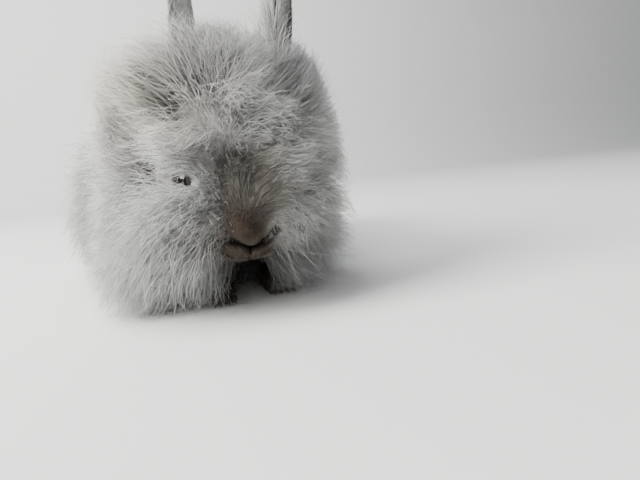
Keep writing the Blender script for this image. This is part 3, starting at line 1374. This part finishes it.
def mane_strands(form, wisps, where, avoid, frizz, hold, fill, draw):
    """Paths of the wool on one form, out to the mane's edge, with the skin places of the roots."""

    def woolly(p):
        """The woolly share of the head, and all of the neck."""
        return wool_share(p) if form is head_form else np.ones(len(p))

    def weight(p, out):
        """How densely wisps stand: by region, and fewer where the head is hardly woolly."""
        return where(p) * np.clip(woolly(p), 0.02, 1) ** 0.5

    t, a, wisp = scatter(form, wisps, MANE_STRANDS, MANE_WISP_SIZE, weight, avoid, draw)
    p = form.skin(t, a)
    out = form.outward(t, a)
    start, end = mane_ways(p, out)
    own = draw.normal(size=p.shape)
    start = unit(start + OWN_SPREAD * own)
    stray = mix(0.3, 0.17, head_ease(0.0, 0.2, head_places(p)[2]))[:, None]
    end = unit(end + 0.5 * stray * own + stray * draw.normal(size=(wisps, 3))[wisp])
    tuft = (fill + 0.07 * draw.normal(size=wisps))[wisp] + 0.09 * waves(p, 15, 57)
    for ear, height in EAR_TUFTS.items():
        off_ear = np.linalg.norm(p - EARS[ear][0], axis=-1)
        tuft = tuft + height * np.exp(-((off_ear / EAR_TUFT_SPREAD) ** 2))
    filled = np.clip(tuft + 0.05 * draw.normal(size=len(p)), 0.7, 1.22)
    depth = mane_depth(p, out)
    away = off_lines(p + depth[:, None] * out, PARTINGS)
    apart = np.linalg.norm(away, axis=-1)
    filled = filled - PARTING_DEPTH * np.exp(-((apart / PARTING_WIDTH) ** 2))
    beside = np.exp(-((apart / (2.5 * PARTING_WIDTH)) ** 2))[:, None]
    end = unit(end + beside * along_skin(away, out))
    root = p + (underwool(depth) * woolly(p) - SKIN_SINK)[:, None] * out
    length = reach_until(past_mane(filled), root, (start + end) / 2, MANE_LONGEST)
    length = np.minimum(length, mix(MANE_SHORTEST, MANE_LONGEST, woolly(p)))
    paths = bent_paths(root, start, end, length, WOOL_LEVELS)
    return as_wool(paths, wisps, MANE_GATHER, hold, frizz, draw), p, t, a


def on_crown(p):
    """The upper half of the head."""
    return head_ease(-0.02, 0.1, head_places(p)[2])


def on_cheek(p, side):
    """The lower half of the head on one side, -1 on the rabbit's right and 1 on its left."""
    _, x, z = head_places(p)
    return head_ease(-0.02, 0.1, side * x) * head_ease(0.16, 0.02, z)


def on_throat(p):
    """The underside of the neck."""
    return head_ease(0.2, -0.1, head_places(p)[2])


def anywhere(p):
    """Even over the form."""
    return np.ones(len(p))


mane_regions = {
    "mane_crown": (head_form, 440, 16000, on_crown, 0.22, 0.5, 0.98),
    "mane_cheek_right": (head_form, 440, 16000, lambda p: on_cheek(p, -1), 0.65, 0.35, 0.99),
    "mane_cheek_left": (head_form, 440, 16000, lambda p: on_cheek(p, 1), 0.3, 0.6, 0.98),
    "ruff": (neck_form, 440, 16000, anywhere, 0.5, 0.5, 0.97),
    "ruff_under": (neck_form, 300, 9000, on_throat, 0.5, 0.5, 0.98),
}
for i, (name, (form, wisps, downs, where, frizz, hold, fill)) in enumerate(mane_regions.items()):
    draw = np.random.default_rng(MANE_SEED + i)
    others = [neck_form if form is head_form else head_form, trunk_form]
    wool = mane_strands(form, wisps, where, others, frizz, hold, fill, draw)
    down = (downs, MANE_DOWN, 0.3 + 0.5 * frizz, past_mane(DOWN_PAST_MANE))
    part_of_map = HEAD_MAP if form is head_form else NECK_MAP
    wool_pieces(name, wool, part_of_map, WOOL_WIDTH, DOWN_WIDTH, down, HOLLOW_BROWNING, draw)

# The body's coat: long soft fur on back, flanks, rump and thighs that lies back and down, and a thick short
# tail. It is a little coarser than the mane and thins out to nothing under the belly.
BODY_WIDTH = 0.25
BODY_STRANDS = 16
BODY_WISP_SIZE = 2.3
BODY_WHORL = 24
BODY_SHORTEST = 2.5
BODY_LONGEST = 40
BODY_GATHER = 0.25
BODY_HOLD = 0.5
BODY_FRIZZ = 0.35
BODY_DOWN = 9.0
BODY_SEED = 80
TAIL_UPWARD = np.array([0, 0.3, 1.0])
BODY_MAPS = {
    "coat_back": (0.0, 0.0, 0.5, 0.5),
    "coat_flanks": (0.0, 0.0, 0.5, 0.5),
    "coat_thigh_right": (0.5, 0, 0.25, 0.3),
    "coat_thigh_left": (0.75, 0, 0.25, 0.3),
    "coat_tail": (0.5, 0.3, 0.1, 0.1),
}


def body_ways(p, out):
    """Fur that rises a little and lies back over the body and down its sides."""
    high = ease(12, 45, p[:, 2])
    drop = -0.8 * ease(75, 25, p[:, 2]) - 0.5 * ease(60, 90, p[:, 1])
    way = np.stack([np.zeros(len(p)), mix(0.55, 1, high), drop], axis=-1)
    lie = along_skin(way, out)
    whorl = whorls(p, BODY_WHORL, (54, 55, 56))
    return unit(0.8 * out + 0.7 * lie + 0.22 * whorl), unit(0.22 * out + lie + 0.32 * whorl + 0.12 * DOWN)


def tail_ways(p, out):
    """Fur that rises along the short upturned tail."""
    lie = TAIL_UPWARD - (out @ TAIL_UPWARD)[:, None] * out
    return unit(0.8 * out + 0.5 * lie), unit(0.5 * out + lie)


def body_strands(form, coat, fur, ways, wisps, where, avoid, draw):
    """Paths of the fur on a form of the body: as long as the coat's depth asks at the fur's own lean."""

    def weight(p, out):
        """How densely wisps stand: by region, and fewer where the coat thins out."""
        return where(p) * np.clip(coat(p, out) / 6, 0.08, 1)

    t, a, wisp = scatter(form, wisps, BODY_STRANDS, BODY_WISP_SIZE, weight, avoid, draw)
    p = form.skin(t, a)
    out = form.outward(t, a)
    start, end = ways(p, out)
    own = draw.normal(size=p.shape)
    start = unit(start + OWN_SPREAD * own)
    end = unit(end + 0.2 * own + 0.22 * draw.normal(size=(wisps, 3))[wisp])
    depth = coat(p, out)
    filled = np.clip(1 + 0.12 * draw.normal(size=wisps)[wisp] + 0.1 * draw.normal(size=len(p)), 0.55, 1.3)
    sunk = underwool(depth) - SKIN_SINK
    lean = np.maximum(0.5, ((start + end) / 2 * out).sum(-1))
    length = np.maximum(BODY_SHORTEST + SKIN_SINK, (fur(p, out) * filled - sunk) / lean)
    root = p + sunk[:, None] * out
    length = np.maximum(length, reach_until(past_mane(filled), root, (start + end) / 2, BODY_LONGEST))
    paths = bent_paths(root, start, end, length, WOOL_LEVELS)
    return as_wool(paths, wisps, BODY_GATHER, BODY_HOLD, BODY_FRIZZ, draw), p, t, a


def on_back(p):
    """The upper half of the trunk."""
    return ease(30, 50, p[:, 2])


def on_flanks(p):
    """The lower half of the trunk."""
    return ease(56, 40, p[:, 2])


body_regions = {
    "coat_back": (trunk_form, trunk_coat, trunk_fur, body_ways, 430, 9000, on_back),
    "coat_flanks": (trunk_form, trunk_coat, trunk_fur, body_ways, 400, 8000, on_flanks),
    "coat_thigh_right": (thigh_right, thigh_coat, thigh_coat, body_ways, 200, 4000, anywhere),
    "coat_thigh_left": (thigh_left, thigh_coat, thigh_coat, body_ways, 200, 4000, anywhere),
    "coat_tail": (tail_form, tail_coat, tail_coat, tail_ways, 70, 1500, anywhere),
}
for i, (name, (form, coat, fur, ways, wisps, downs, where)) in enumerate(body_regions.items()):
    draw = np.random.default_rng(BODY_SEED + i)
    others = [other for other in (trunk_form, thigh_right, thigh_left, neck_form) if other is not form]
    wool = body_strands(form, coat, fur, ways, wisps, where, others, draw)
    down = (downs, BODY_DOWN, BODY_FRIZZ, kept_free)
    wool_pieces(name, wool, BODY_MAPS[name], BODY_WIDTH, 0.9 * BODY_WIDTH, down, 0.0, draw)

# The face's short fur: fine hairs that lie back from the nose over muzzle and bridge, shortest round the
# nostrils. On the rabbit's left they are longer and sweep aside into the cheek's wool.
FACE_WIDTH = 0.18
FACE_WISPS = 2600
SHORT_WISP = 6
SHORT_WISP_SIZE = 0.6
SLIT_CLEARANCE = 5.0
NOSE_HAIR = 1.5
BROW_HAIR = 7.5
LONGER_SWEPT = 6.5
LONGER_ON_PADS = 1.6
SHORTER_BY_SLIT = 0.72
SHORT_SUNK = 0.3
SHORT_FUR_GAP = 0.3
FACE_SEED = 91
short_finish = hair_material("short grey fur", 0.75, 0.05, 0.1)


def short_coat(name, t, a, p, out, lie, length, lift, spread, width, part_of_map, draw):
    """Short hairs that lie along lie, lifted a little, each bent flatter towards its tip."""
    start = unit(2 * lift * out + lie + spread * draw.normal(size=p.shape))
    end = unit(lift * out + lie + spread * draw.normal(size=p.shape))
    paths = bent_paths(p - SHORT_SUNK * out, start, end, length + SHORT_SUNK, DOWN_LEVELS)
    paths = off_floor(paths, SHORT_FUR_GAP)
    widths = strand_widths(len(p), width, DOWN_LEVELS, draw)
    tints = strand_tints(p, DOWN_LEVELS, draw)
    places = map_places(t, a, part_of_map)
    strand_mesh(name, paths, widths, DOWN_LEVELS, tints, places, short_finish)


def bare_face(p, out):
    """Where the face has no wool, denser towards the nose, and not in the slits or on the eyeballs."""
    s, x, _ = head_places(p)
    clear = 1 - ease(0.25, 0.6, np.max(nose_lines(p), axis=0))
    left = 1 + 1.5 * head_ease(0.03, 0.08, x)
    near_nose = head_ease(0.7, 0.1, s) ** 0.5
    return left * ease(0.8, 0.35, wool_share(p)) * near_nose * (from_eyes(p) > 5) * clear


def on_face(t, a):
    """Points of the head's skin with the face's relief."""
    plain = head_form.skin(t, a)
    return plain + face_relief(plain)


draw = np.random.default_rng(FACE_SEED)
t, a, _ = scatter(head_form, FACE_WISPS, SHORT_WISP, SHORT_WISP_SIZE, bare_face, [], draw)
plain = head_form.skin(t, a)
s, x, z = head_places(plain)
slits = [(line, SLIT_CLEARANCE) for line, _ in NOSE_LINES["nostril"] + NOSE_LINES["cleft"]]
by_slit = groove(plain, slits)
on_pads = head_ease(-0.04, -0.08, z) * head_ease(0.15, 0.05, s)
swept = head_ease(0.02, 0.09, x) * head_ease(0.03, 0.12, s) * head_ease(-0.12, -0.02, z)
beside_nose = (head_ease(0.0, 0.1, x) * head_ease(0.02, 0.1, s))[:, None]
p = on_face(t, a)
back_way = on_face(t + 0.004, a) - on_face(t - 0.004, a)
round_way = on_face(t, a + 0.02) - on_face(t, a - 0.02)
out = unit(np.cross(back_way, round_way))
out = out * np.sign((out * head_form.outward(t, a)).sum(-1))[:, None]
away = unit(p - on_head(-0.12 * H, 0, 0.02 * H)) + beside_nose * (0.9 * head_left + 0.7 * DOWN)
lie = unit(along_skin(away, out) + (0.8 * on_pads)[:, None] * DOWN)
length = mix(NOSE_HAIR, BROW_HAIR, head_ease(0.0, 0.4, s)) + LONGER_SWEPT * swept * (1 - by_slit)
length = (length + LONGER_ON_PADS * on_pads) * (1 - SHORTER_BY_SLIT * by_slit)
length = length * np.clip(draw.normal(1, 0.2, len(p)), 0.5, 1.5)
short_coat("face_fur", t, a, p, out, lie, length, 0.2, 0.16, FACE_WIDTH, HEAD_MAP, draw)

# The lids' fur: dense very short hairs over the rings of the lids. They lie back from the corner near the
# nose and leave the wet eyeball free.
LIDS_MAP = (0.6, 0.3, 0.1, 0.1)
LID_HAIRS = 1500
LID_FUR_END = np.radians(80)
LID_HAIR_WIDTH = 0.2
LID_SEED = 92
for centre, looks, side_name in zip(eye_centres, eye_outs, ("right", "left")):
    draw = np.random.default_rng(LID_SEED)
    turn = draw.uniform(0, 2 * np.pi, LID_HAIRS)
    angle = mix(lid_opening(turn) + 0.03, LID_FUR_END, draw.uniform(0, 1, LID_HAIRS))
    out = on_ball(angle, turn, looks)
    p = centre + LID_OUTER * out
    way = -head_forward + 0.5 * (out - (out @ looks)[:, None] * looks)
    lie = along_skin(way, out)
    length = draw.uniform(0.8, 1.7, LID_HAIRS)
    t = np.clip(angle / np.pi, 0, 1)
    name = "lid_fur_" + side_name
    short_coat(name, t, turn, p, out, lie, length, 0.15, 0.2, LID_HAIR_WIDTH, LIDS_MAP, draw)

# The ears' fur: short hairs that lie up along the ear, thin in its cup, and longer soft tufts round its foot
# and along the edge towards the crown.
EAR_HAIRS = 5000
EAR_HAIR_WIDTH = 0.2
EAR_HAIR = 2.8
EAR_FOOT_HAIR = 12.0
EAR_TUFT = 5
MOVED_OUT_OF_CUP = 0.55
EAR_SEED = 93
EAR_FRINGE = {"ear_right": (5.0, 1), "ear_left": (15.0, -1)}
EAR_MAPS = {"ear_right": (0.5, 0.4, 0.2, 0.1), "ear_left": (0.75, 0.4, 0.2, 0.1)}
for name, (root, tip, opens) in EARS.items():
    draw = np.random.default_rng(EAR_SEED)
    fringe, near_edge = EAR_FRINGE[name]
    share = draw.uniform(0.05, 0.99, EAR_HAIRS) ** 1.15
    t = np.arccos(1 - 2 * share) / np.pi
    a = 2 * np.pi * draw.uniform(0, 1, EAR_HAIRS)
    moved = (np.sin(a) < 0) & (draw.uniform(size=EAR_HAIRS) < MOVED_OUT_OF_CUP)
    a = np.where(moved, -a, a)
    inside = np.sin(a) < 0
    p = ear_points(root, tip, opens, t, a)
    up_way = unit(ear_points(root, tip, opens, np.clip(t + 0.01, 0, 1), a) - p)
    around = ear_points(root, tip, opens, t, a + 0.02) - ear_points(root, tip, opens, t, a - 0.02)
    out = unit(np.cross(up_way, around))
    edge = ease(0.3, 0.9, near_edge * np.cos(a)) * ease(0.9, 0.25, share)
    foot_tuft = ease(0.52, 0.14, share) * np.where(inside, 0.35, 1)
    length = mix(EAR_HAIR, EAR_FOOT_HAIR, foot_tuft) + fringe * edge * draw.uniform(0.4, 1, EAR_HAIRS)
    length = length * np.where(inside, 0.75, 1) * np.clip(draw.normal(1, 0.22, EAR_HAIRS), 0.4, 1.6)
    lie = unit(up_way + 0.3 * edge[:, None] * near_edge * unit(around))
    spread = np.repeat(draw.normal(size=(EAR_HAIRS // EAR_TUFT, 3)), EAR_TUFT, axis=0)
    spread = spread * (0.1 + 0.35 * edge)[:, None]
    start = unit(0.4 * out + lie + 0.12 * draw.normal(size=p.shape) + 0.5 * spread)
    end = unit((0.2 + 0.55 * foot_tuft)[:, None] * out + lie + 0.2 * draw.normal(size=p.shape) + spread)
    paths = bent_paths(p - SHORT_SUNK * out, start, end, length, DOWN_LEVELS)
    in_cup = inside * (1 - foot_tuft) * (1 - edge)
    shade = mix(EAR_BACK, EAR_CUP, in_cup[:, None])
    root_tint = shade * np.clip(draw.normal(1, 0.16, (EAR_HAIRS, 1)), 0.6, 1.5)
    tip_tint = mix(root_tint, WOOL_TIP, (0.75 - 0.7 * in_cup)[:, None])
    tints = np.stack([mix(root_tint, tip_tint, level) for level in DOWN_LEVELS], axis=1)
    widths = strand_widths(EAR_HAIRS, EAR_HAIR_WIDTH, DOWN_LEVELS, draw)
    places = map_places(t, a, EAR_MAPS[name])
    strand_mesh(name + "_fur", paths, widths, DOWN_LEVELS, tints, places, short_finish)

# The feet's fur: short dense hairs that lie forward over foot and toes and hide the roots of the claws. The
# soles, on which the rabbit rests, have none.
FOOT_WISPS = 210
FOOT_HAIR_WIDTH = 0.26
FOOT_SEED = 100
FOOT_MAPS = {
    "hindfoot_right": (0.5, 0.3, 0.05, 0.05),
    "hindfoot_left": (0.8, 0.3, 0.05, 0.05),
    "forepaw_right": (0.56, 0.36, 0.03, 0.03),
    "forepaw_left": (0.86, 0.36, 0.03, 0.03),
}


def on_top(p, out):
    """Everywhere but on the sole."""
    return ease(-0.3, 0.3, out[:, 2])


for i, (name, (heel, toe, wide, high)) in enumerate(FEET.items()):
    draw = np.random.default_rng(FOOT_SEED + i)
    foot = foot_form(heel, toe, wide, high)
    t, a, _ = scatter(foot, FOOT_WISPS, SHORT_WISP, SHORT_WISP_SIZE, on_top, [], draw)
    p = foot.skin(t, a)
    out = foot.outward(t, a)
    forward = foot.along + 0.15 * DOWN
    lie = unit(forward - (out @ forward)[:, None] * out)
    length = draw.uniform(2.2, 4.2, len(p))
    map_part = FOOT_MAPS[name]
    short_coat(name + "_fur", t, a, p, out, lie, length, 0.2, 0.2, FOOT_HAIR_WIDTH, map_part, draw)

# Whiskers: long stiff pale hairs that grow from the pads of the lip on both sides of the nose and thin out
# to their tips. All of them are one piece.
WHISKER_LEVELS = np.linspace(0, 1, 7)
WHISKERS = 6
WHISKER_WIDTH = 0.085
WHISKER_PALE = 0.4
WHISKER_GAP = 1.0
WHISKER_LENGTHS = (20, 36)
WHISKER_SEED = 110
draw = np.random.default_rng(WHISKER_SEED)
side = np.repeat([-1.0, 1.0], WHISKERS)
root_s = draw.uniform(0.07, 0.14, len(side)) * H
root_x = side * draw.uniform(0.09, 0.12, len(side)) * H
root_z = draw.uniform(-0.12, -0.05, len(side)) * H
p = NOSE_TIP + np.stack([root_s, root_x, root_z], axis=-1) @ head_axes
outwards = side[:, None] * head_left
start = unit(outwards + 0.25 * head_forward + 0.35 * draw.normal(size=p.shape) * [0.6, 0.6, 1])
end = unit(0.7 * outwards - 0.6 * head_forward + 0.8 * DOWN + 0.2 * draw.normal(size=p.shape))
length = draw.uniform(*WHISKER_LENGTHS, len(p))
paths = off_floor(bent_paths(p, start, end, length, WHISKER_LEVELS), WHISKER_GAP)
widths = strand_widths(len(p), WHISKER_WIDTH, WHISKER_LEVELS, draw)
tints = np.full((len(p), len(WHISKER_LEVELS), 3), WHISKER_PALE)
places = map_places(np.full(len(p), 0.2), np.pi * (1 + 0.3 * side), HEAD_MAP)
strand_mesh("whiskers", paths, widths, WHISKER_LEVELS, tints, places, short_finish)
